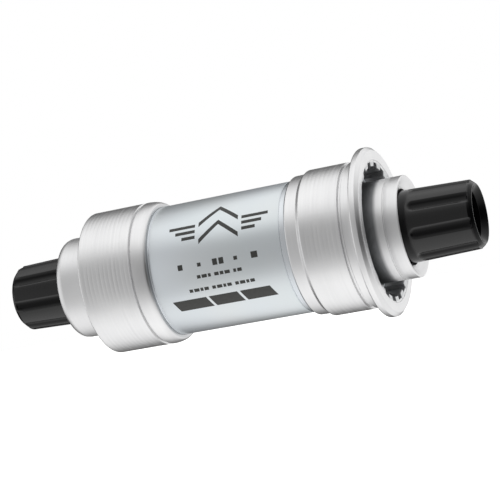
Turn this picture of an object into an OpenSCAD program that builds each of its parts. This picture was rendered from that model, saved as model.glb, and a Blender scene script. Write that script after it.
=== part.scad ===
// Sealed cartridge bottom bracket for a bicycle frame with a threaded English shell.
// The spindle lies along Y: the drive side is at -Y, the non-drive side at +Y,
// +X is forward and +Z is up. The origin is the middle of the spindle.
// Every piece is drawn about Z with its drive side up, then laid down by along_y().

/* [Spindle] */
// Length of the spindle from tip to tip
spindle_len = 118; // [113:1:128]
// Diameter of the spindle where the bearings sit
journal_d = 17; // [16:0.1:17]
// Diameter of the thick middle of the spindle, between the bearings
shoulder_d = 19; // [18.6:0.1:20]
// Length of the splined crank seat at each end
seat_len = 15.6; // [11:0.1:15.8]
// Diameter of the crank seat at its tip, before the chamfer
seat_tip_d = 16.1; // [15.6:0.1:16.6]
// Number of splines on each crank seat
spline_count = 8; // [8:1:10]
// Radius of the round-bottomed grooves between the splines
groove_r = 2; // [1.4:0.05:2.2]
// Depth of those grooves
groove_depth = 0.6; // [0.4:0.05:0.7]
// Bore for the crank bolt thread at each end
bolt_bore_d = 10.92; // [9:0.02:11.2]
// Depth of the crank bolt bore
bolt_bore_depth = 22; // [14:1:30]
// Lightening bore right through the spindle
through_bore_d = 9; // [6:0.1:9]

/* [Bearings] */
// Outer diameter of each bearing
bearing_od = 30; // [29:0.1:30]
// Width of each bearing
bearing_w = 7; // [6:0.1:7]
// Distance from the middle of the spindle to the middle of each bearing
bearing_y = 25; // [24:0.1:25]
// Diameter of the bearing balls
ball_d = 3.97; // [3.5:0.01:4]
// Number of balls in each bearing
ball_count = 14; // [11:1:15]

/* [Cartridge] */
// Diameter of the middle of the cartridge tube
barrel_d = 31.2; // [30.8:0.1:31.2]
// Diameter of the tube's two ends, inside the cups
tube_end_d = 31.4; // [31.2:0.1:31.6]
// Length of the cartridge tube
tube_len = 62; // [61:0.5:63]
// Distance from the middle of the spindle to the label's drive-side edge
label_drive = 15.6; // [10:0.1:15.8]
// Distance from the middle of the spindle to the label's other edge
label_nondrive = 17.2; // [10:0.1:17.4]
// Thickness of the label
label_t = 0.1; // [0.08:0.01:0.12]
// Diameter of the drive-side seal collar, which stands out of its cup
drive_collar_d = 24; // [23.6:0.1:25]
// Distance from the middle of the spindle to the end of the drive-side collar
drive_collar_end = 43; // [42.6:0.1:44.5]
// Diameter of the other seal collar
nondrive_collar_d = 24.7; // [23.6:0.1:25]
// Distance from the middle of the spindle to the end of the other collar
nondrive_collar_end = 44.2; // [43:0.1:44.8]

/* [Cups] */
// Major diameter of the cup threads, 1.37 inch by 24 per inch
thread_d = 34.8; // [34.6:0.02:34.9]
// Distance from the middle of the spindle to the face that meets the frame
seat_y = 34; // [33.5:0.1:35]
// Diameter of the drive cup's flange
flange_d = 40; // [38:0.1:42]
// Thickness of the drive cup's flange
flange_t = 2.4; // [2:0.1:3.5]
// Distance from the middle of the spindle to the outer face of the non-drive cup
cup_end = 35.4; // [35:0.1:37]
// Number of teeth in the wrench spline inside each cup
tool_teeth = 20; // [16:1:24]
// Diameter across the tips of the wrench teeth
tool_tip_d = 30.6; // [30.2:0.1:31]
// Diameter across the roots of the wrench teeth
tool_root_d = 32.6; // [32:0.1:33]

/* [Hidden] */
$fn = 96;

// Spindle
half = spindle_len / 2;
journal_r = journal_d / 2;
seat_start = half - seat_len;
tip_chamfer = 0.5;
// Cone at the mouth of each bolt bore, in which the spindle was held for turning
centre_r = 6.8;
centre_depth = 1.4;
// Plain nose outboard of the splines, no wider than the bottoms of the grooves
nose_len = 1.1;
nose_r = seat_tip_d / 2 - groove_depth;
// Outward lean of the groove cutters, which follows the taper of the crank seat
seat_lean = atan((journal_r - seat_tip_d / 2) / seat_len);
// Angle of the first groove above the line that faces forward
groove_phase = 12;
clip_groove_depth = 0.4;

// Bearings
bearing_in = bearing_y - bearing_w / 2;
bearing_out = bearing_y + bearing_w / 2;
bearing_r = bearing_od / 2;
ball_r = ball_d / 2;
pitch_r = (journal_r + bearing_r) / 2;
race_groove_r = ball_r + 0.065;
inner_land_r = pitch_r - 1.55;
outer_land_r = pitch_r + 1.55;
cage_t = 1.5;
cage_back = 2.6;
cage_front = 1;
pocket_r = ball_r + 0.05;
shield_t = 0.4;
shield_inset = 0.15;
shield_gap = 0.25;
clip_t = 1;
clip_rim = 1.9;
clip_gap = 5;

// Cartridge
tube_end = tube_len / 2;
drive_land = 15.8;
nondrive_land = 17.4;
tube_bore_r = bearing_r - 0.8;
label_seam = 0.8;
collar_bore_r = 11;
collar_mouth_r = 9;
collar_throat_r = 10.5;
// The drive-side collar ends in a dish, and has a narrow groove in its wall
drive_collar_r = drive_collar_d / 2;
collar_dish = 1.4;
collar_lip = 1;
drive_seal_top = drive_collar_end - collar_dish - collar_lip;
collar_groove_y = 39.5;
collar_groove_w = 0.3;
collar_groove_t = 0.2;
// The other collar ends in a rounded nose
nondrive_collar_r = nondrive_collar_d / 2;
nondrive_seal_top = nondrive_collar_end - 2 * collar_lip;
collar_nose_len = 1.8;
collar_nose_t = 1.2;
seal_w = 2.2;
seal_gap = 0.05;

// Cups
thread_r = thread_d / 2;
tip_r = tool_tip_d / 2;
root_r = tool_root_d / 2;
relief_depth = 0.55;
relief_w = 0.9;
// The drive cup starts with a plain pilot, just wider than the tube, then steps up
drive_nose = 17;
pilot_r = 16.5;
pilot_rise = 0.2;
drive_step = 20.2;
drive_step_end = 21;
drive_relief = 30.9;
neck_r = thread_r - 0.15;
nondrive_nose = 17.8;
nondrive_relief = 21.5;
cup_slip = 0.05;
cup_lip_t = 1;
cup_lip_r = 14.6;
rim_chamfer = 0.5;
flange_chamfer = 0.9;

// Lays a piece drawn about Z, drive side up, along Y with its drive side at -Y
module along_y() { rotate([90, 0, 0]) children(); }

// Turns a drive-side piece round to the non-drive side
module other_side() { mirror([0, 0, 1]) children(); }

// A plain ring between two radii and two heights
module ring(r_in, r_out, z0, z1) {
    rotate_extrude() translate([r_in, z0]) square([r_out - r_in, z1 - z0]);
}

// A quarter ellipse from (r0, z0) out to (r1, z1), for a rounded nose
function nose(r0, z0, r1, z1, steps = 6) =
    [for (i = [0 : steps]) [r0 + (r1 - r0) * sin(90 * i / steps),
                            z1 + (z0 - z1) * cos(90 * i / steps)]];

// One half of the spindle's outline, from its middle to the drive-side tip
half_outline = [
    [shoulder_d / 2, 0],
    [shoulder_d / 2, bearing_in],
    [journal_r, bearing_in],
    [journal_r, bearing_out],
    [journal_r - clip_groove_depth, bearing_out],
    [journal_r - clip_groove_depth, bearing_out + clip_t],
    [journal_r, bearing_out + clip_t],
    [journal_r, seat_start],
    [seat_tip_d / 2, half - nose_len],
    [nose_r, half - tip_chamfer],
    [nose_r - tip_chamfer, half],
    [centre_r, half],
    [bolt_bore_d / 2, half - centre_depth],
    [bolt_bore_d / 2, half - bolt_bore_depth],
    [through_bore_d / 2, half - bolt_bore_depth - 1],
    [through_bore_d / 2, 0]
];

// Round-bottomed grooves of the drive-side crank seat
module seat_grooves() {
    for (i = [0 : spline_count - 1])
        rotate([0, 0, groove_phase + i * 360 / spline_count])
            translate([journal_r - groove_depth + groove_r, 0, seat_start + groove_r])
                rotate([0, -seat_lean, 0]) {
                    cylinder(r = groove_r, h = seat_len + 2, $fn = 32);
                    sphere(r = groove_r, $fn = 32);
                }
}

module half_spindle() {
    difference() {
        rotate_extrude() polygon(half_outline);
        seat_grooves();
    }
}

module spindle() {
    color("#26282a") along_y() {
        half_spindle();
        other_side() half_spindle();
    }
}

module cartridge_tube() {
    color("#c9cccf") along_y() difference() {
        union() {
            ring(tube_bore_r, barrel_d / 2, -nondrive_land, drive_land);
            ring(tube_bore_r, tube_end_d / 2, -tube_end, -nondrive_land);
            ring(tube_bore_r, tube_end_d / 2, drive_land, tube_end);
        }
        for (side = [-1, 1])
            translate([0, 0, side * (bearing_in + 10)])
                cylinder(r = bearing_r, h = 20, center = true);
    }
}

module label_wrap() {
    color("#dfe3e6") along_y() difference() {
        ring(barrel_d / 2, barrel_d / 2 + label_t, -label_nondrive, label_drive);
        translate([10, -label_seam / 2, -tube_len]) cube([10, label_seam, 2 * tube_len]);
    }
}

// Straight-sided wrench teeth, standing in from the root circle to the tip circle
module tool_recess(z0, z1) {
    difference() {
        translate([0, 0, z0]) cylinder(r = root_r, h = z1 - z0 + 1);
        for (i = [0 : tool_teeth - 1])
            rotate([0, 0, i * 360 / tool_teeth])
                translate([tip_r, -PI * tip_r / tool_teeth / 2, z0 - 1])
                    cube([root_r - tip_r + 1, PI * tip_r / tool_teeth, z1 - z0 + 3]);
    }
    translate([0, 0, z0]) cylinder(r = tip_r, h = z1 - z0 + 1);
    translate([0, 0, z1 - rim_chamfer])
        cylinder(r1 = tip_r, r2 = root_r + rim_chamfer, h = root_r + rim_chamfer - tip_r);
}

module drive_cup() {
    face = seat_y + flange_t;
    outline = [
        [tube_end_d / 2, drive_nose],
        [pilot_r - rim_chamfer, drive_nose],
        [pilot_r, drive_nose + rim_chamfer],
        [pilot_r + pilot_rise, drive_step],
        [thread_r, drive_step_end],
        [thread_r, drive_relief - relief_w / 2],
        [thread_r - relief_depth, drive_relief - relief_w / 4],
        [thread_r - relief_depth, drive_relief + relief_w / 4],
        [neck_r, drive_relief + relief_w / 2],
        [neck_r, seat_y],
        [flange_d / 2 - rim_chamfer / 2, seat_y],
        [flange_d / 2, seat_y + rim_chamfer / 2],
        [flange_d / 2, face - flange_chamfer],
        [flange_d / 2 - flange_chamfer, face],
        [tip_r - 1, face],
        [tip_r - 1, tube_end],
        [tube_end_d / 2, tube_end]];
    color("#c4c6c8") along_y() difference() {
        rotate_extrude() polygon(outline);
        tool_recess(tube_end, face);
    }
}

module nondrive_cup() {
    bore_r = tube_end_d / 2 + cup_slip;
    stop = tube_end + cup_slip;
    outline = concat(
        [[bore_r, nondrive_nose]],
        nose(thread_r - 1.2, nondrive_nose, thread_r, nondrive_relief - relief_w / 2),
        [[thread_r - relief_depth, nondrive_relief - relief_w / 4],
         [thread_r - relief_depth, nondrive_relief + relief_w / 4],
         [thread_r, nondrive_relief + relief_w / 2],
         [thread_r, cup_end - rim_chamfer],
         [thread_r - rim_chamfer, cup_end],
         [cup_lip_r, cup_end],
         [cup_lip_r, stop],
         [bore_r, stop]]);
    color("#c4c6c8") along_y() other_side() difference() {
        rotate_extrude() polygon(outline);
        tool_recess(stop + cup_lip_t, cup_end);
    }
}

// A pressed-in collar: its seat in the tube, then the outline of its outboard nose
module seal_collar(wall_r, nose_outline, seal_top) {
    color("#cfd1d3") rotate_extrude() polygon(concat(
        [[collar_throat_r, bearing_out],
         [bearing_r, bearing_out],
         [bearing_r, tube_end],
         [wall_r, tube_end]],
        nose_outline,
        [[collar_mouth_r, seal_top],
         [collar_bore_r, seal_top],
         [collar_bore_r, tube_end],
         [collar_throat_r, tube_end]]));
}

module drive_seal_collar() {
    groove_r = drive_collar_r - collar_groove_t;
    seal_collar(drive_collar_r, [
        [drive_collar_r, collar_groove_y - collar_groove_w / 2],
        [groove_r, collar_groove_y - collar_groove_w / 2],
        [groove_r, collar_groove_y + collar_groove_w / 2],
        [drive_collar_r, collar_groove_y + collar_groove_w / 2],
        [drive_collar_r, drive_collar_end - 0.3],
        [drive_collar_r - 0.3, drive_collar_end],
        [collar_mouth_r, drive_collar_end - collar_dish]
    ], drive_seal_top);
}

module nondrive_seal_collar() {
    seal_collar(nondrive_collar_r, concat(
        [for (i = [6 : -1 : 0])
            [nondrive_collar_r - collar_nose_t + collar_nose_t * sin(15 * i),
             nondrive_collar_end - collar_nose_len + collar_nose_len * cos(15 * i)]],
        [[collar_mouth_r, nondrive_collar_end]]), nondrive_seal_top);
}

// A rubber ring pressed in the collar, with a thin lip that reaches for the spindle
module lip_seal(top) {
    color("#1b1b1c") rotate_extrude() polygon([
        [collar_bore_r, top - seal_w],
        [collar_bore_r, top],
        [journal_r + seal_gap, top],
        [journal_r + seal_gap, top - 0.5],
        [journal_r + 0.8, top - 0.8],
        [collar_bore_r - 0.7, top - 0.8],
        [collar_bore_r - 0.7, top - seal_w]
    ]);
}

module outer_race() {
    color("#b9bcbf") translate([0, 0, bearing_y]) difference() {
        ring(outer_land_r, bearing_r, -bearing_w / 2, bearing_w / 2);
        rotate_extrude() translate([pitch_r, 0]) circle(r = race_groove_r, $fn = 48);
    }
}

module inner_race() {
    color("#b9bcbf") translate([0, 0, bearing_y]) difference() {
        ring(journal_r, inner_land_r, -bearing_w / 2, bearing_w / 2);
        rotate_extrude() translate([pitch_r, 0]) circle(r = race_groove_r, $fn = 48);
    }
}

// Places one child at each ball of the drive-side bearing
module each_ball() {
    for (i = [0 : ball_count - 1])
        rotate([0, 0, i * 360 / ball_count]) translate([pitch_r, 0, bearing_y]) children();
}

module balls() { color("#d7d9db") each_ball() sphere(r = ball_r, $fn = 32); }

module ball_cage() {
    color("#5d4a33") difference() {
        translate([0, 0, bearing_y])
            ring(pitch_r - cage_t / 2, pitch_r + cage_t / 2, -cage_back, cage_front);
        each_ball() sphere(r = pocket_r, $fn = 32);
    }
}

// A thin shield held in the outer race, on the outboard (1) or inboard (-1) face
module shield(face) {
    z = bearing_y + face * (bearing_w / 2 - shield_inset - shield_t / 2);
    color("#33363a")
        ring(inner_land_r + shield_gap, outer_land_r, z - shield_t / 2, z + shield_t / 2);
}

module circlip() {
    r_in = journal_r - clip_groove_depth;
    color("#3a3d40") difference() {
        ring(r_in, r_in + clip_rim, bearing_out, bearing_out + clip_t);
        translate([0, -clip_gap / 2, bearing_out - 1]) cube([20, clip_gap, clip_t + 2]);
    }
}

cartridge_tube();
label_wrap();
drive_cup();
nondrive_cup();
along_y() drive_seal_collar();
along_y() other_side() nondrive_seal_collar();
along_y() lip_seal(drive_seal_top);  // drive_lip_seal
along_y() other_side() lip_seal(nondrive_seal_top);  // nondrive_lip_seal
along_y() outer_race();  // drive_outer_race
along_y() other_side() outer_race();  // nondrive_outer_race
along_y() inner_race();  // drive_inner_race
along_y() other_side() inner_race();  // nondrive_inner_race
along_y() balls();  // drive_balls
along_y() other_side() balls();  // nondrive_balls
along_y() ball_cage();  // drive_ball_cage
along_y() other_side() ball_cage();  // nondrive_ball_cage
along_y() shield(1);  // drive_outboard_shield
along_y() shield(-1);  // drive_inboard_shield
along_y() other_side() shield(1);  // nondrive_outboard_shield
along_y() other_side() shield(-1);  // nondrive_inboard_shield
along_y() circlip();  // drive_circlip
along_y() other_side() circlip();  // nondrive_circlip
spindle();
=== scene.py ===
import math

import bmesh
import bpy
from mathutils import Matrix, Vector


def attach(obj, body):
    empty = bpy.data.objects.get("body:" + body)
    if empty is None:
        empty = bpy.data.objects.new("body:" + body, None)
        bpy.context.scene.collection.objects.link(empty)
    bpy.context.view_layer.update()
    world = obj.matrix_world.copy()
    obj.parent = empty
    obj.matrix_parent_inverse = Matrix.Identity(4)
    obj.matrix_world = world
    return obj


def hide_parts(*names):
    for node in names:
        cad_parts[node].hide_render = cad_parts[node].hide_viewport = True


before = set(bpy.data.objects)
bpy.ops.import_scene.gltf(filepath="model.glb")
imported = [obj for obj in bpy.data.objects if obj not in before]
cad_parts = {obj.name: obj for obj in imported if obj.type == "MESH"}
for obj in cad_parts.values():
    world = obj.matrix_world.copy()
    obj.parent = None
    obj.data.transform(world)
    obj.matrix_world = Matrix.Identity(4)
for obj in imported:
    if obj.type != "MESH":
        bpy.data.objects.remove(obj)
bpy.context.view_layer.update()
scene = bpy.context.scene


# ---- Camera --------------------------------------------------------------------------
# A long lens, level with the spindle, looks forward at the bracket from behind it. It stands
# a little to the drive side, and it is rolled so that the drive side rises.
mm = 0.001
camera_turn = math.radians(20.42)
camera_roll = math.radians(-10.7)
camera_distance = 427.0 * mm
camera_right, camera_up = 1.83 * mm, 1.89 * mm

looking = Vector((math.cos(camera_turn), math.sin(camera_turn), 0))
level = looking.to_track_quat("-Z", "Y").to_matrix().to_4x4()
facing = level @ Matrix.Rotation(camera_roll, 4, "Z")
lens = bpy.data.cameras.new("camera")
lens.lens = 128.4
lens.sensor_width = 36
lens.clip_start, lens.clip_end = 10 * mm, 20
camera = bpy.data.objects.new("camera", lens)
offset = facing @ Vector((camera_right, camera_up, camera_distance))
camera.matrix_world = Matrix.Translation(offset) @ facing
scene.collection.objects.link(camera)
scene.camera = camera
scene.view_settings.view_transform = "Standard"


# ---- Floor and light -----------------------------------------------------------------
# A pale studio: a white floor well below the part, and broad light from above and below.
# Level with the part it is grey on the camera's side and nearly black beyond, which gives
# turned metal its grey stripe and dark edges. A white backdrop stands beyond the drive side.
def linear(srgb_hex):
    """The linear colour, with alpha 1, of an sRGB hex colour such as '#e4e4e6'."""
    parts = [int(srgb_hex[i:i + 2], 16) / 255 for i in (1, 3, 5)]
    return [p / 12.92 if p <= 0.04045 else ((p + 0.055) / 1.055) ** 2.4 for p in parts] + [1]


def add(tree, kind, inputs=None, **settings):
    """Adds a node. inputs maps an input's name or number to a value or to the output that feeds it.
    A Mix of colours takes its factor at 0 and its colours at 6 and 7, and gives its result at 2."""
    made = tree.nodes.new("ShaderNode" + kind)
    for name, value in settings.items():
        setattr(made, name, value)
    for name, value in (inputs or {}).items():
        if isinstance(value, bpy.types.NodeSocket):
            tree.links.new(value, made.inputs[name])
        else:
            made.inputs[name].default_value = value
    return made


def steps(tree, value, stops):
    """A smooth run of grey levels: stops are (position from 0 to 1, level)."""
    ramp = add(tree, "ValToRGB", {"Fac": value})
    ramp.color_ramp.interpolation = "EASE"
    while len(ramp.color_ramp.elements) < len(stops):
        ramp.color_ramp.elements.new(0.5)
    for element, (position, level_grey) in zip(ramp.color_ramp.elements, stops):
        element.position = position
        element.color = (level_grey, level_grey, level_grey, 1)
    return ramp.outputs["Color"]


studio = bpy.data.worlds.new("studio")
studio.use_nodes = True
sky = studio.node_tree
sky.nodes.clear()
direction = add(sky, "TexCoord").outputs["Generated"]
towards = add(sky, "SeparateXYZ", {"Vector": direction}).outputs
height = add(sky, "MapRange", {"Value": towards["Z"], "From Min": -1, "From Max": 1})
in_front = steps(sky, height.outputs["Result"], [
    (0.00, 0.98), (0.08, 0.94), (0.15, 0.80), (0.25, 0.52), (0.38, 0.37), (0.50, 0.33),
    (0.64, 0.32), (0.76, 0.35), (0.84, 0.64), (0.91, 0.94), (1.00, 0.96)])
beyond = steps(sky, height.outputs["Result"], [
    (0.00, 0.98), (0.06, 0.92), (0.12, 0.62), (0.20, 0.16), (0.32, 0.02), (0.50, 0.02),
    (0.70, 0.02), (0.82, 0.12), (0.90, 0.55), (0.96, 0.95), (1.00, 0.96)])
is_beyond = add(sky, "MapRange", {"Value": towards["X"], "From Min": 0.0, "From Max": 0.3},
                interpolation_type="SMOOTHSTEP")
past_drive_side = add(sky, "MapRange", {"Value": towards["Y"], "From Min": 0.12,
                                        "From Max": -0.15}, interpolation_type="SMOOTHSTEP")
backdrop = add(sky, "Mix", {0: past_drive_side.outputs["Result"], 6: beyond,
                            7: linear("#ececec")}, data_type="RGBA")
around = add(sky, "Mix", {0: is_beyond.outputs["Result"], 6: in_front, 7: backdrop.outputs[2]},
             data_type="RGBA")
# A dark flag on the camera's right gives that side's edges their shade, and a pale panel on
# its left lights the other end. Each fades in between two cosines of the angle from its middle.
for flag_middle, edge, full, colour in (((-0.45, -0.89, 0), 0.80, 0.97, "#2c2c2c"),
                                        ((-0.30, 0.95, 0), 0.66, 0.90, "#e0e0e0")):
    close = add(sky, "VectorMath", {0: direction, 1: flag_middle}, operation="DOT_PRODUCT")
    mask = add(sky, "MapRange", {"Value": close.outputs["Value"], "From Min": edge,
                                 "From Max": full}, interpolation_type="SMOOTHSTEP")
    around = add(sky, "Mix", {0: mask.outputs["Result"], 6: around.outputs[2],
                              7: linear(colour)}, data_type="RGBA")
lit = add(sky, "Background", {"Color": around.outputs[2], "Strength": 1.32})
seen = add(sky, "Background", {"Color": linear("#ffffff"), "Strength": 1.0})
straight = add(sky, "LightPath").outputs["Is Camera Ray"]
both = add(sky, "MixShader", {0: straight, 1: lit.outputs[0], 2: seen.outputs[0]})
add(sky, "OutputWorld", {"Surface": both.outputs[0]})
scene.world = studio

floor_drop = 150 * mm
paper = bpy.data.materials.new("white_paper_floor")
paper.use_nodes = True
sheet = paper.node_tree.nodes["Principled BSDF"]
sheet.inputs["Base Color"].default_value = linear("#f4f4f2")
sheet.inputs["Roughness"].default_value = 0.8
sheet.inputs["Emission Color"].default_value = linear("#ffffff")
sheet.inputs["Emission Strength"].default_value = 0.7
floor_mesh = bpy.data.meshes.new("floor")
reach = 4.0
floor_mesh.from_pydata([(x, y, -floor_drop) for x, y in
                        ((-reach, -reach), (reach, -reach), (reach, reach), (-reach, reach))],
                       [], [(0, 1, 2, 3)])
floor_mesh.materials.append(paper)
floor = bpy.data.objects.new("floor", floor_mesh)
# The metal mirrors the studio's own light from below, not the paper.
floor.visible_glossy = False
floor.visible_diffuse = False
scene.collection.objects.link(floor)


# ---- Cartridge tube ------------------------------------------------------------------
# A drawn steel tube that holds both bearings. Its ends are turned a little larger, to
# seat the cups, and bored for the bearings. It is zinc plated, so it looks cool and satin.
DRIVE, NONDRIVE = -1, 1
SIDES = {"drive": DRIVE, "nondrive": NONDRIVE}
even_turn = [2 * math.pi * i / 256 for i in range(256)]


def place(side, along, radius, angle):
    """A point at a distance along the spindle towards that side, in mm, turned up from forward."""
    return (radius * mm * math.cos(angle), side * along * mm, radius * mm * math.sin(angle))


def rounded(corners, steps_each=5):
    """A closed outline of (along, radius) points from corners of (along, radius, fillet)."""
    outline = []
    for i, (along, radius, fillet) in enumerate(corners):
        corner = Vector((along, radius))
        before = Vector(corners[i - 1][:2]) - corner
        after = Vector(corners[(i + 1) % len(corners)][:2]) - corner
        if fillet == 0:
            outline.append(tuple(corner))
            continue
        half = before.angle(after) / 2
        run = min(fillet / math.tan(half), before.length * 0.49, after.length * 0.49)
        reach_in = run * math.tan(half)
        centre = corner + (before.normalized() + after.normalized()).normalized() \
            * math.hypot(run, reach_in)
        start = corner + before.normalized() * run - centre
        end = corner + after.normalized() * run - centre
        sweep = start.angle_signed(end)
        for k in range(steps_each + 1):
            turned_by = Matrix.Rotation(-sweep * k / steps_each, 2)
            outline.append(tuple(centre + turned_by @ start))
    return outline


def turned(name, side, outline, turn=even_turn, whole=True):
    """A ring lathed about the spindle. A point of the outline is (along, radius) in mm, or a
    function of the angle that gives it. whole is False where the ring stops at turn's ends."""
    count = len(outline)
    points = [place(side, *(p(angle) if callable(p) else p), angle)
              for angle in turn for p in outline]
    faces = []
    for column in range(len(turn) if whole else len(turn) - 1):
        here, there = column * count, (column + 1) % len(turn) * count
        for row in range(count):
            below = (row + 1) % count
            faces.append((here + row, there + row, there + below, here + below))
    if not whole:
        last = (len(turn) - 1) * count
        faces += [tuple(range(count)), tuple(last + i for i in reversed(range(count)))]
    return closed(name, points, faces)


def closed(name, points, faces, sharp=35):
    """A smooth-shaded object with its faces looking outwards and its sharp edges kept."""
    mesh = bpy.data.meshes.new(name)
    mesh.from_pydata(points, [], faces)
    work = bmesh.new()
    work.from_mesh(mesh)
    bmesh.ops.recalc_face_normals(work, faces=work.faces)
    work.to_mesh(mesh)
    work.free()
    mesh.shade_smooth()
    mesh.set_sharp_from_angle(angle=math.radians(sharp))
    made = bpy.data.objects.new(name, mesh)
    scene.collection.objects.link(made)
    return made


def fit(piece, body, node, material):
    """The piece takes the place of a CAD node, moves with its body and wears the material."""
    piece.data.materials.append(material)
    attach(piece, body)
    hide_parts(node)


def surface(name):
    """A new material: its node tree, its shader, and the place of each point in metres."""
    material = bpy.data.materials.new(name)
    material.use_nodes = True
    tree = material.node_tree
    where = add(tree, "TexCoord").outputs["Object"]
    return material, tree, tree.nodes["Principled BSDF"], where


def noise(tree, where, size, detail=2.0):
    """Soft mottling whose patches are about size millimetres across."""
    mottling = add(tree, "TexNoise", {"Vector": where, "Scale": 1 / (size * mm), "Detail": detail})
    return mottling.outputs["Fac"]


def off_axis(tree, where):
    """The distance of each point from the spindle's axis, in metres."""
    flat = add(tree, "VectorMath", {0: where, 1: (1, 0, 1)}, operation="MULTIPLY")
    return add(tree, "VectorMath", {0: flat.outputs["Vector"]}, operation="LENGTH").outputs["Value"]


def lathe_marks(tree, where, feed):
    """Rings left by the tool at that feed in mm, round walls and round end faces alike."""
    along = add(tree, "SeparateXYZ", {"Vector": where}).outputs["Y"]
    run = add(tree, "Math", {0: along, 1: off_axis(tree, where)})
    scaled = add(tree, "Math", {0: run.outputs["Value"], 1: 1 / (feed * mm)}, operation="MULTIPLY")
    rings = add(tree, "TexNoise", {"W": scaled.outputs["Value"], "Scale": 1.0, "Detail": 1.0},
                noise_dimensions="1D")
    return rings.outputs["Fac"]


def turned_metal(name, dark, light, roughness, feed, mark_depth, grain, grain_depth):
    """Bare or plated metal with lathe rings and a fine grain: colours as hex, sizes in mm."""
    material, tree, shader, where = surface(name)
    patches = noise(tree, where, 9)
    marks = lathe_marks(tree, where, feed)
    fine = noise(tree, where, grain, 3)
    tone = add(tree, "Mix", {0: patches, 6: linear(dark), 7: linear(light)}, data_type="RGBA")
    gloss = add(tree, "MapRange", {"Value": marks, "From Min": 0.2, "From Max": 0.8,
                                   "To Min": roughness - 0.05, "To Max": roughness + 0.05})
    rings = add(tree, "Bump", {"Strength": 1.0, "Distance": mark_depth * mm, "Height": marks})
    skin = add(tree, "Bump", {"Strength": 1.0, "Distance": grain_depth * mm, "Height": fine,
                              "Normal": rings.outputs["Normal"]})
    shader.inputs["Metallic"].default_value = 1.0
    for socket, value in (("Base Color", tone.outputs[2]),
                          ("Roughness", gloss.outputs["Result"]),
                          ("Normal", skin.outputs["Normal"])):
        tree.links.new(value, shader.inputs[socket])
    return material


# Bright zinc over drawn steel: a cool grey-white with faint drawing rings.
zinc_plate = turned_metal("zinc_plated_steel", "#c9ced3", "#d9dde0", 0.30, 0.5, 0.0015, 0.3, 0.0006)
tube_half, drive_land, nondrive_land = 31.0, 15.8, 17.4
barrel_r, tube_end_r, bearing_seat_r, tube_bore_r = 15.6, 15.7, 15.0, 14.2
bearing_in, bearing_out = 21.5, 28.5


def tube_side(land):
    """One end of the tube, from the step beside the label to the shelf behind the bearing."""
    return [(land, barrel_r, 0.02), (land, tube_end_r, 0.05), (tube_half, tube_end_r, 0.25),
            (tube_half, bearing_seat_r, 0.15), (bearing_in, bearing_seat_r, 0),
            (bearing_in, tube_bore_r, 0)]


other_end = [(-along, radius, fillet) for along, radius, fillet in reversed(tube_side(nondrive_land))]
tube = turned("plated_cartridge_tube", DRIVE, rounded(tube_side(drive_land) + other_end))
fit(tube, "cartridge", "cartridge_tube", zinc_plate)


# ---- Label ---------------------------------------------------------------------------
# A silver polyester film wrapped round the barrel, its ends meeting in a seam at the
# front. Its marks are screen printed in black ink and stand a hair proud of the film.
film_t, film_drive, film_nondrive, film_seam = 0.1, 15.6, 17.2, 0.8
film_r = barrel_r + film_t
seam_angle = math.asin(film_seam / 2 / film_r)
film_turn = [seam_angle + (2 * math.pi - 2 * seam_angle) * i / 255 for i in range(256)]
film = turned("silver_label_film", DRIVE,
              rounded([(-film_nondrive, barrel_r, 0), (-film_nondrive, film_r, 0.03),
                       (film_drive, film_r, 0.03), (film_drive, barrel_r, 0)], 3),
              film_turn, whole=False)
# Metallised film: cooler and glossier than the cups, with a faint blue-green and cream sheen.
label_film, tree, shader, where = surface("metallised_label_film")
drift = noise(tree, where, 14, 1)
warm = add(tree, "Mix", {0: drift, 6: linear("#d6e0e2"), 7: linear("#e2e4e1")}, data_type="RGBA")
elsewhere = add(tree, "Mapping", {"Vector": where, "Location": (0.3, 0.1, 0.2)})
second = noise(tree, elsewhere.outputs["Vector"], 20, 1)
sheen = add(tree, "Mix", {0: second, 6: warm.outputs[2], 7: linear("#dadfe6")}, data_type="RGBA")
ripple = noise(tree, where, 2.5, 2)
creases = add(tree, "Bump", {"Strength": 1.0, "Distance": 0.006 * mm, "Height": ripple})
shader.inputs["Metallic"].default_value = 0.6
shader.inputs["Roughness"].default_value = 0.3
tree.links.new(sheen.outputs[2], shader.inputs["Base Color"])
tree.links.new(creases.outputs["Normal"], shader.inputs["Normal"])
fit(film, "cartridge", "label_wrap", label_film)


def printed(points, faces, corners, ink=0.02, step=0.7):
    """Adds one mark to a print: a four-cornered patch of ink bent round the film.
    Corners are (x, y) in mm: x towards the drive side, y up round the film from its middle."""
    low_left, low_right, high_right, high_left = [Vector(c) for c in corners]
    rows = max(1, math.ceil((high_left - low_left).length / step))
    columns = max(1, math.ceil(abs((high_right - high_left).y) / step))
    base, width = len(points), columns + 1
    for lift in (0, ink):
        for row in range(rows + 1):
            left = low_left.lerp(high_left, row / rows)
            right = low_right.lerp(high_right, row / rows)
            for column in range(width):
                x, y = left.lerp(right, column / columns)
                points.append(place(DRIVE, x, film_r + lift, math.pi - y / film_r))
    top = (rows + 1) * width

    def at(level, row, column):
        return base + level * top + row * width + column

    for row in range(rows):
        for column in range(columns):
            for level in (0, 1):
                faces.append((at(level, row, column), at(level, row, column + 1),
                              at(level, row + 1, column + 1), at(level, row + 1, column)))
        for column in (0, columns):
            faces.append((at(0, row, column), at(0, row + 1, column),
                          at(1, row + 1, column), at(1, row, column)))
    for column in range(columns):
        for row in (0, rows):
            faces.append((at(0, row, column), at(0, row, column + 1),
                          at(1, row, column + 1), at(1, row, column)))


def bar(x0, x1, y0, y1, slant=0.0):
    """The corners of a bar whose upper edge is moved along by slant."""
    return (x0, y0), (x1, y0), (x1 + slant, y1), (x0 + slant, y1)


print_points, print_faces = [], []
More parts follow.
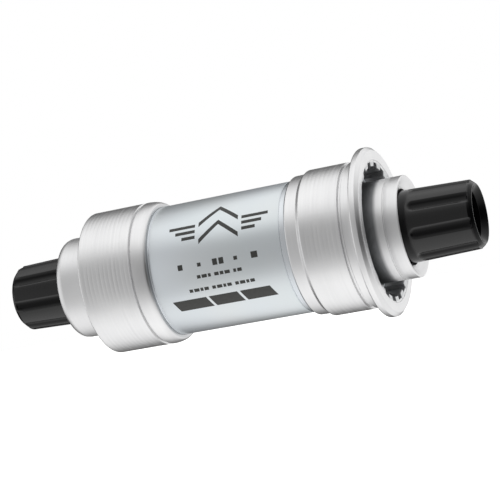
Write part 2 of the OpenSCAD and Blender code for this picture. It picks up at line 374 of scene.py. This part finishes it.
# Two stacked chevrons, with stripes that shorten away from them on both sides
middle = 0.5
for peak in (15.0, 10.6):
    for hand in (-1, 1):
        printed(print_points, print_faces,
                ((middle, peak - 1.2), (middle + hand * 5.0, peak - 5.4),
                 (middle + hand * 5.0, peak - 4.2), (middle, peak)))
for row in range(3):
    length = 6.6 - 1.6 * row
    for hand in (-1, 1):
        start = middle + hand * 5.9
        printed(print_points, print_faces,
                bar(*sorted((start, start + hand * length)), 9.7 - 1.5 * row, 10.5 - 1.5 * row))
# A row of plain squares and dots
for x, width, height_mm in ((-9.8, 1.2, 1.3), (-5.0, 0.9, 0.9), (-1.0, 1.2, 1.5), (0.6, 1.2, 1.5),
                            (4.2, 0.9, 0.9), (8.9, 1.6, 1.5)):
    printed(print_points, print_faces,
            bar(x - width / 2, x + width / 2, 0.4 - height_mm / 2, 0.4 + height_mm / 2))
# Two fine broken rules
for level_y, first, last, gap_every in ((-2.4, -6.1, 4.4, 3), (-5.5, -8.9, 7.8, 4)):
    x, dash = first, 0
    while x < last:
        length = (0.9, 1.3, 0.7, 1.1)[dash % 4]
        printed(print_points, print_faces, bar(x, x + length, level_y - 0.4, level_y + 0.4))
        dash += 1
        x += length + (0.9 if dash % gap_every == 0 else 0.3)
# A slanted ribbon in three lengths
for x0, x1 in ((-12.8, -4.3), (-3.6, 3.6), (4.3, 11.8)):
    printed(print_points, print_faces, bar(x0, x1, -10.5, -7.6, -1.2))
marks = closed("label_print", print_points, print_faces)
# Black screen ink: dense, slightly warm and a little shiny, with thin spots.
screen_ink, tree, shader, where = surface("screen_printed_ink")
thin = noise(tree, where, 0.8, 3)
tone = add(tree, "Mix", {0: thin, 6: linear("#2b2c2b"), 7: linear("#3d3d39")}, data_type="RGBA")
tree.links.new(tone.outputs[2], shader.inputs["Base Color"])
shader.inputs["Roughness"].default_value = 0.42
marks.data.materials.append(screen_ink)
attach(marks, "cartridge")


# ---- Cups ----------------------------------------------------------------------------
# Two aluminium cups, turned from bar, threaded to screw into the frame shell and silver
# anodised. The drive cup has the flange and a left-hand thread, and is pressed on the
# tube. The plain one has a right-hand thread and slips over the other end of the tube.
# The threads are drawn much shallower than real ones, so that the cups read as nearly smooth.
thread_r, thread_pitch, thread_depth = 17.4, 25.4 / 24, 0.013
relief_r, relief_half = 16.85, 0.45
tooth_count, tooth_tip_r, tooth_root_r = 20, 15.3, 16.3
tooth_turn = 2 * math.pi / tooth_count
flank = math.radians(0.3)
tooth_edge = tooth_turn / 4
# Angles bunch up at the flanks of the wrench teeth, so that they stay crisp
tooth_steps = [-tooth_edge - flank, -tooth_edge + flank, -0.6 * tooth_edge, -0.2 * tooth_edge,
               0.2 * tooth_edge, 0.6 * tooth_edge, tooth_edge - flank, tooth_edge + flank,
               1.4 * tooth_edge, 1.8 * tooth_edge, 2.2 * tooth_edge, 2.6 * tooth_edge]
cup_turn = [i * tooth_turn + a for i in range(tooth_count) for a in tooth_steps]


def thread_run(side, start, end, hand):
    """The outline along an outside thread: flat crests and narrow rounded roots."""
    fade = 0.5 * thread_pitch
    count = round((end - start) / thread_pitch * 10)

    def station(along):
        def point(angle):
            phase = side * along / thread_pitch + hand * angle / (2 * math.pi)
            root = (0.5 - 0.5 * math.cos(2 * math.pi * phase)) ** 3
            ease = max(0.0, min(1.0, (along - start) / fade, (end - along) / fade))
            return along, thread_r - thread_depth * root * ease
        return point
    return [station(start + (end - start) * k / count) for k in range(count + 1)]


def tooth_wall(along, open_by=0.0):
    """One station of the wrench recess, whose wall steps in at each tooth."""
    def point(angle):
        away = abs((angle + tooth_turn / 2) % tooth_turn - tooth_turn / 2)
        return along, open_by + (tooth_tip_r if away < tooth_edge else tooth_root_r)
    return point


def nose(r_start, along_start, r_end, along_end, count=10):
    """A quarter of an ellipse that rounds the inboard end of a cup."""
    return [(along_end + (along_start - along_end) * math.cos(math.pi / 2 * i / count),
             r_start + (r_end - r_start) * math.sin(math.pi / 2 * i / count))
            for i in range(count + 1)]


# Satin silver anodising over turned aluminium: pale, soft-edged reflections, faint rings.
anodised = turned_metal("satin_silver_anodised_aluminium", "#d6d6d7", "#e6e6e6", 0.34, 0.6,
                        0.0015, 0.35, 0.0012)


def shaded_below(material, measure, shade_full_below, shade_gone_at, colour):
    """Painted shade: the colour is darkened where the measure is below the first limit in mm, and plain
    again by the second.
    """
    tree = material.node_tree
    shader = tree.nodes["Principled BSDF"]
    unshaded = shader.inputs["Base Color"].links[0].from_socket
    shade_fade = add(tree, "MapRange", {"Value": measure, "From Min": shade_full_below * mm,
                                   "From Max": shade_gone_at * mm})
    shaded_tone = add(tree, "Mix", {0: shade_fade.outputs["Result"], 6: linear(colour), 7: unshaded},
                  data_type="RGBA")
    tree.links.new(shaded_tone.outputs[2], shader.inputs["Base Color"])


# Painted shade: the walls of the wrench recess are coloured a little darker, where shade falls in the
# recess.
tree = anodised.node_tree
where = add(tree, "TexCoord").outputs["Object"]
shaded_below(anodised, off_axis(tree, where), 16.4, 16.6, "#c4c5c6")
flange_r, seat_along, flange_face = 20.0, 34.0, 36.4
drive_nose, pilot_r, drive_step, drive_relief, neck_r = 17.0, 16.5, 20.2, 30.9, 17.25
flange_edge = rounded([(seat_along, neck_r, 0.25), (seat_along, flange_r, 0.4),
                       (flange_face - 0.9, flange_r, 0.3), (flange_face, flange_r - 0.9, 0.3),
                       (flange_face, tooth_root_r + 0.5, 0.3),
                       (tube_half, tooth_root_r + 0.5, 0)])
pilot = rounded([(drive_nose, tube_end_r, 0), (drive_nose, pilot_r - 0.35, 0.2),
                 (drive_nose + 0.4, pilot_r + 0.1, 0.4), (drive_step, pilot_r + 0.15, 0.3),
                 (drive_step + 0.8, thread_r, 0.5), (drive_step + 2, thread_r, 0),
                 (drive_step + 2, tube_end_r, 0)])
drive_outline = (
    pilot[:-2]
    + thread_run(DRIVE, drive_step + 1.2, drive_relief - relief_half, -1)
    + [(drive_relief - 0.25, relief_r), (drive_relief + 0.2, relief_r),
       (drive_relief + relief_half, neck_r)]
    + flange_edge[:-1]
    + [tooth_wall(flange_face - 0.5, 0.12), tooth_wall(flange_face - 0.9),
       tooth_wall(tube_half + 0.5), tooth_wall(tube_half + 0.02),
       (tube_half, tooth_tip_r + 0.1), (tube_half, tube_end_r)])
drive_cup = turned("flanged_drive_cup", DRIVE, drive_outline, cup_turn)
fit(drive_cup, "cartridge", "drive_cup", anodised)

cup_bore_r, cup_nose, cup_relief, cup_face = 15.75, 17.8, 21.5, 35.4
cup_stop, cup_lip_t, cup_lip_r = 31.05, 1.0, 14.6
recess_floor = cup_stop + cup_lip_t
cup_rim = rounded([(cup_relief, thread_r, 0), (cup_face, thread_r, 0.7),
                   (cup_face, tooth_root_r + 0.4, 0.2), (recess_floor, tooth_root_r + 0.4, 0)])
nondrive_outline = (
    [(cup_nose, cup_bore_r)]
    + nose(thread_r - 1.2, cup_nose, thread_r, cup_relief - relief_half)
    + [(cup_relief - 0.2, relief_r), (cup_relief + 0.2, relief_r)]
    + thread_run(NONDRIVE, cup_relief + relief_half, cup_face - 0.9, 1)
    + cup_rim[1:-1]
    + [tooth_wall(cup_face - 0.4, 0.1), tooth_wall(cup_face - 0.7),
       tooth_wall(recess_floor + 0.5), tooth_wall(recess_floor + 0.02)]
    + [(recess_floor, tooth_tip_r - 0.1), (recess_floor, cup_lip_r + 0.15),
       (recess_floor - 0.15, cup_lip_r), (cup_stop + 0.15, cup_lip_r),
       (cup_stop, cup_lip_r + 0.15), (cup_stop, cup_bore_r)])
nondrive_cup = turned("flangeless_nondrive_cup", NONDRIVE, nondrive_outline, cup_turn)
fit(nondrive_cup, "nondrive_cup", "nondrive_cup", anodised)


# ---- Seal collars --------------------------------------------------------------------
# A turned aluminium collar pressed into each end of the tube, which keeps the bearing in
# and stands out of the cup. The drive-side one ends in a dish and has a narrow groove; the
# other ends in a rounded nose. The lip seal is held behind the mouth.
# Fine-blasted aluminium, left paler and softer than the cups.
blasted = turned_metal("fine_blasted_aluminium", "#d8d8d9", "#e4e4e4", 0.38, 0.5,
                       0.001, 0.28, 0.002)
# Painted shade: the root of each collar, where it stands in the recess, is coloured darker.
tree = blasted.node_tree
along = add(tree, "SeparateXYZ", {"Vector": add(tree, "TexCoord").outputs["Object"]}).outputs["Y"]
outboard = add(tree, "Math", {0: along}, operation="ABSOLUTE").outputs["Value"]
shaded_below(blasted, outboard, 37.0, 37.9, "#8b8c8e")
collar_throat_r, collar_bore_r, collar_mouth_r = 10.5, 11.0, 9.0
dished_r, dished_end, dish, mouth_t = 12.0, 43.0, 1.4, 1.0
mark_along, mark_w, mark_t = 39.5, 0.3, 0.2
domed_r, domed_end, dome_length, dome_drop = 12.35, 44.2, 1.8, 1.2
seal_faces = {"drive": dished_end - dish - mouth_t, "nondrive": domed_end - 2 * mouth_t}
dished_end_wall = [
    (mark_along - mark_w / 2, dished_r, 0.05), (mark_along - mark_w / 2, dished_r - mark_t, 0.03),
    (mark_along + mark_w / 2, dished_r - mark_t, 0.03), (mark_along + mark_w / 2, dished_r, 0.05),
    (dished_end - 0.2, dished_r, 0.15), (dished_end, dished_r - 0.25, 0.15),
    (dished_end - dish, collar_mouth_r, 0.15)]
domed_end_wall = [(along, radius, 0) for along, radius in
                  reversed(nose(domed_r - dome_drop, domed_end, domed_r, domed_end - dome_length))]
domed_end_wall.append((domed_end, collar_mouth_r, 0.25))
for side_name, wall_r, end_wall in (("drive", dished_r, dished_end_wall),
                                    ("nondrive", domed_r, domed_end_wall)):
    collar = turned(side_name + "_collar_nose", SIDES[side_name], rounded(
        [(bearing_out, collar_throat_r, 0.1), (bearing_out, bearing_seat_r, 0),
         (tube_half, bearing_seat_r, 0.1), (tube_half, wall_r, 0.3)]
        + end_wall
        + [(seal_faces[side_name], collar_mouth_r, 0), (seal_faces[side_name], collar_bore_r, 0),
           (tube_half, collar_bore_r, 0.3), (tube_half, collar_throat_r, 0.1)]))
    fit(collar, "cartridge", side_name + "_seal_collar", blasted)


# ---- Lip seals -----------------------------------------------------------------------
# A moulded nitrile ring behind the mouth of each collar. A thin lip reaches for the
# spindle, and a garter rib behind it keeps its shape.
# Nitrile rubber: near black, matt, with the fine pebble of a moulded skin.
nitrile, tree, shader, where = surface("moulded_nitrile_rubber")
pebble = noise(tree, where, 0.15, 3)
bloom = noise(tree, where, 3, 2)
tone = add(tree, "Mix", {0: bloom, 6: linear("#161617"), 7: linear("#222223")}, data_type="RGBA")
skin = add(tree, "Bump", {"Strength": 1.0, "Distance": 0.004 * mm, "Height": pebble})
tree.links.new(tone.outputs[2], shader.inputs["Base Color"])
tree.links.new(skin.outputs["Normal"], shader.inputs["Normal"])
shader.inputs["Roughness"].default_value = 0.62
journal_r, seal_gap, seal_w = 8.5, 0.05, 2.2
for side_name, side in SIDES.items():
    face = seal_faces[side_name]
    seal = turned(side_name + "_moulded_seal", side, rounded([
        (face - seal_w, collar_bore_r, 0.1), (face, collar_bore_r, 0.1),
        (face, journal_r + seal_gap, 0.12), (face - 0.5, journal_r + seal_gap, 0.12),
        (face - 0.8, journal_r + 0.8, 0.1), (face - 0.8, collar_bore_r - 0.7, 0.2),
        (face - seal_w, collar_bore_r - 0.7, 0.2)]))
    fit(seal, "cartridge", side_name + "_lip_seal", nitrile)


# ---- Bearings ------------------------------------------------------------------------
# Two shielded ball bearings of 17 x 30 x 7 mm. Each has two ground steel rings with a
# deep groove, polished balls spaced by a moulded nylon cage, and two pressed shields.
ball_r, ball_count, pitch_r, bearing_along = 1.985, 14, 11.75, (bearing_in + bearing_out) / 2
groove_r, land = ball_r + 0.065, 1.55
groove_half = math.acos(land / groove_r)


def race_outline(edge_r, out):
    """A ring from edge_r to its land, out being 1 for the outer ring and -1 for the inner."""
    land_r = pitch_r + out * land
    groove = [(bearing_along + groove_r * math.sin(a), pitch_r + out * groove_r * math.cos(a))
              for a in [groove_half * (k / 8 - 1) for k in range(17)]]
    shell = rounded([(bearing_in, land_r, 0), (bearing_in, edge_r, 0.3),
                     (bearing_out, edge_r, 0.3), (bearing_out, land_r, 0)])
    return shell + groove[::-1]


# Ground bearing steel: hard and bright, with a very fine ring grain.
ground_steel = turned_metal("ground_bearing_steel", "#b9bcc0", "#cccfd2", 0.16, 0.25,
                            0.0004, 0.2, 0.0002)
# Polished chrome steel: almost a mirror, broken only by a trace of grease.
polished, tree, shader, where = surface("polished_ball_steel")
grease = noise(tree, where, 1.5, 2)
gloss = add(tree, "MapRange", {"Value": grease, "To Min": 0.03, "To Max": 0.12})
tone = add(tree, "Mix", {0: grease, 6: linear("#cfd1d3"), 7: linear("#d9dadb")}, data_type="RGBA")
tree.links.new(gloss.outputs["Result"], shader.inputs["Roughness"])
tree.links.new(tone.outputs[2], shader.inputs["Base Color"])
shader.inputs["Metallic"].default_value = 1.0
# Glass-filled nylon: brown, matt and slightly cloudy from the fibres near its skin.
glass_nylon, tree, shader, where = surface("glass_filled_nylon")
fibres = noise(tree, where, 0.4, 4)
tone = add(tree, "Mix", {0: fibres, 6: linear("#4f3a26"), 7: linear("#6b5034")}, data_type="RGBA")
skin = add(tree, "Bump", {"Strength": 1.0, "Distance": 0.004 * mm, "Height": fibres})
tree.links.new(tone.outputs[2], shader.inputs["Base Color"])
tree.links.new(skin.outputs["Normal"], shader.inputs["Normal"])
shader.inputs["Roughness"].default_value = 0.55
# Phosphated sheet and spring steel: dark grey, dull, a little patchy.
phosphate = turned_metal("phosphated_steel", "#4b4d50", "#5a5c5f", 0.5, 0.3, 0.0006, 0.15, 0.002)


def ball_ring(name, side):
    """All the balls of one bearing, as separate round solids."""
    work = bmesh.new()
    for i in range(ball_count):
        centre = Vector(place(side, bearing_along, pitch_r, 2 * math.pi * i / ball_count))
        bmesh.ops.create_icosphere(work, subdivisions=4, radius=ball_r * mm,
                                   matrix=Matrix.Translation(centre))
    mesh = bpy.data.meshes.new(name)
    work.to_mesh(mesh)
    work.free()
    mesh.shade_smooth()
    made = bpy.data.objects.new(name, mesh)
    scene.collection.objects.link(made)
    return made


def wears(node, material):
    """A CAD node whose shape is kept takes a better material."""
    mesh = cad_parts[node].data
    mesh.materials.clear()
    mesh.materials.append(material)


for side_name, side in SIDES.items():
    fit(turned(side_name + "_ground_outer_ring", side, race_outline(bearing_seat_r, 1)),
        "cartridge", side_name + "_outer_race", ground_steel)
    fit(turned(side_name + "_ground_inner_ring", side, race_outline(journal_r, -1)),
        "spindle", side_name + "_inner_race", ground_steel)
    fit(ball_ring(side_name + "_polished_balls", side),
        side_name + "_ball_set", side_name + "_balls", polished)
    wears(side_name + "_ball_cage", glass_nylon)
    wears(side_name + "_outboard_shield", phosphate)
    wears(side_name + "_inboard_shield", phosphate)


# ---- Circlips ------------------------------------------------------------------------
# A spring steel ring snapped into a groove outboard of each bearing, which stops the
# inner ring from creeping along the spindle. Stamped, tumbled and phosphated.
for side_name in SIDES:
    wears(side_name + "_circlip", phosphate)


# ---- Spindle -------------------------------------------------------------------------
# A hollow chrome-molybdenum steel spindle. Each end is a slightly tapered seat with eight
# round-bottomed grooves for the crank, drilled and tapped for its bolt. The journals are
# ground, then the whole spindle is blacked in a hot oxide bath and oiled.
spindle_half, shoulder_r, seat_tip_r, seat_start = 59.0, 9.5, 8.05, 43.4
spline_count, spline_groove_r, spline_depth, first_groove = 8, 2.0, 0.6, math.radians(12)
spline_end, nose_start_r, clip_floor_r, clip_t = 57.9, 7.45, 8.1, 1.0
bolt_pitch, bolt_minor_r, bolt_major_r, bolt_start, bolt_end = 1.0, 5.46, 6.0, 55.5, 46.0
cone_r, cone_depth = 6.85, 1.4
bolt_depth, through_r = 37.0, 4.5
spline_turn = 2 * math.pi / spline_count


def blend_least(a, b, soft=0.06):
    """The lesser of two radii, with the edge between them broken by about soft."""
    return min(a, b) - soft * math.log(1 + math.exp(-abs(a - b) / soft))


def seat_station(along):
    """One station of the crank seat: the taper, cut by grooves with scooped inner ends."""
    tapered = max(0.0, along - seat_start) / (spline_end - seat_start)
    land_r = journal_r + (seat_tip_r - journal_r) * tapered
    scoop = max(0.0, seat_start + spline_groove_r - along)
    cutter = math.sqrt(max(0.0, spline_groove_r ** 2 - scoop ** 2))
    centre_r = land_r - spline_depth + spline_groove_r

    def point(angle):
        away = (angle - first_groove + spline_turn / 2) % spline_turn - spline_turn / 2
        inside = cutter ** 2 - (centre_r * math.sin(away)) ** 2
        if inside <= 0:
            return along, land_r
        return along, blend_least(land_r, centre_r * math.cos(away) - math.sqrt(inside))
    return point


def bolt_station(along, side):
    """One station of the tapped bore: a right-hand thread for the crank bolt."""
    def point(angle):
        phase = along / bolt_pitch + side * angle / (2 * math.pi)
        ease = max(0.0, min(1.0, (bolt_start - along) / 0.7, (along - bolt_end) / 0.7))
        cut = (0.5 - 0.5 * math.cos(2 * math.pi * phase)) * ease
        return along, bolt_minor_r + 0.8 * (bolt_major_r - bolt_minor_r) * cut
    return point


def half_spindle(side):
    """The outline from the spindle's middle, out over one crank seat and back up its bore.
    The last corner given to each rounded() only says which way the outline goes on."""
    barrel = rounded([(0, shoulder_r, 0), (bearing_in, shoulder_r, 0.4), (bearing_in, journal_r, 0.1),
                      (bearing_out, journal_r, 0.05), (bearing_out, clip_floor_r, 0.05),
                      (bearing_out + clip_t, clip_floor_r, 0.05), (bearing_out + clip_t, journal_r, 0.1),
                      (40, journal_r, 0), (40, 0, 0)])[:-1]
    scoop = [seat_station(seat_start + 0.2 * k) for k in range(11)]
    splines = [seat_station(seat_start + 2.2 + (spline_end - seat_start - 2.2) * k / 8)
               for k in range(9)]
    tip = rounded([(58.2, nose_start_r + 0.3, 0), (58.55, nose_start_r, 0.4),
                   (spindle_half, nose_start_r - 0.4, 0.15), (spindle_half, cone_r, 0.03),
                   (spindle_half - cone_depth, bolt_minor_r, 0.35), (bolt_end, bolt_minor_r, 0)])[:-1]
    tapped = [bolt_station(bolt_start - (bolt_start - bolt_end) * k / 100, side)
              for k in range(1, 101)]
    bored = [(bolt_depth, bolt_minor_r), (bolt_depth - 1, through_r), (0, through_r)]
    return barrel + scoop + splines + tip + tapped + bored


def mirrored(outline):
    """The same outline on the other side of the middle, run the other way."""
    def flipped(point):
        if not callable(point):
            return -point[0], point[1]
        return lambda angle: (-point(angle)[0], point(angle)[1])
    return [flipped(point) for point in reversed(outline)]


# Hot black oxide under a film of oil: a deep black skin with a soft half gloss.
black_oxide = turned_metal("black_oxide_steel", "#080809", "#0d0d0e", 0.2, 0.35, 0.0008, 0.2, 0.0008)
oiled = black_oxide.node_tree.nodes["Principled BSDF"]
oiled.inputs["Metallic"].default_value = 0.0
# Painted shade: the grooves get a lower specular level than the lands between them, so they read darker.
tree = black_oxide.node_tree
where = add(tree, "TexCoord").outputs["Object"]
along = add(tree, "SeparateXYZ", {"Vector": where}).outputs["Y"]
outboard = add(tree, "Math", {0: along}, operation="ABSOLUTE")
taper = add(tree, "MapRange", {"Value": outboard.outputs["Value"], "From Min": seat_start * mm,
                               "From Max": spline_end * mm, "To Min": 0.0,
                               "To Max": (journal_r - seat_tip_r) * mm})
untapered = add(tree, "Math", {0: off_axis(tree, where), 1: taper.outputs["Result"]})
gloss = add(tree, "MapRange", {"Value": untapered.outputs["Value"], "From Min": 8.05 * mm,
                               "From Max": 8.4 * mm, "To Min": 0.15, "To Max": 0.5})
tree.links.new(gloss.outputs["Result"], oiled.inputs["Specular IOR Level"])
# Angles bunch up at the edges of the grooves, so that they stay crisp
groove_steps = [-22.5, -19, -16, -13, -11.3, -10.6, -10, -9.4, -8.5, -6.8, -4.5, -2.2,
                0, 2.2, 4.5, 6.8, 8.5, 9.4, 10, 10.6, 11.3, 13, 16, 19]
spline_sweep = [first_groove + i * spline_turn + math.radians(a)
                for i in range(spline_count) for a in groove_steps]
# Both halves leave out their points in the middle plane, where the walls run straight through
spindle = turned("splined_hollow_spindle", DRIVE,
                 half_spindle(DRIVE)[1:-1] + mirrored(half_spindle(NONDRIVE))[1:-1], spline_sweep)
fit(spindle, "spindle", "spindle", black_oxide)
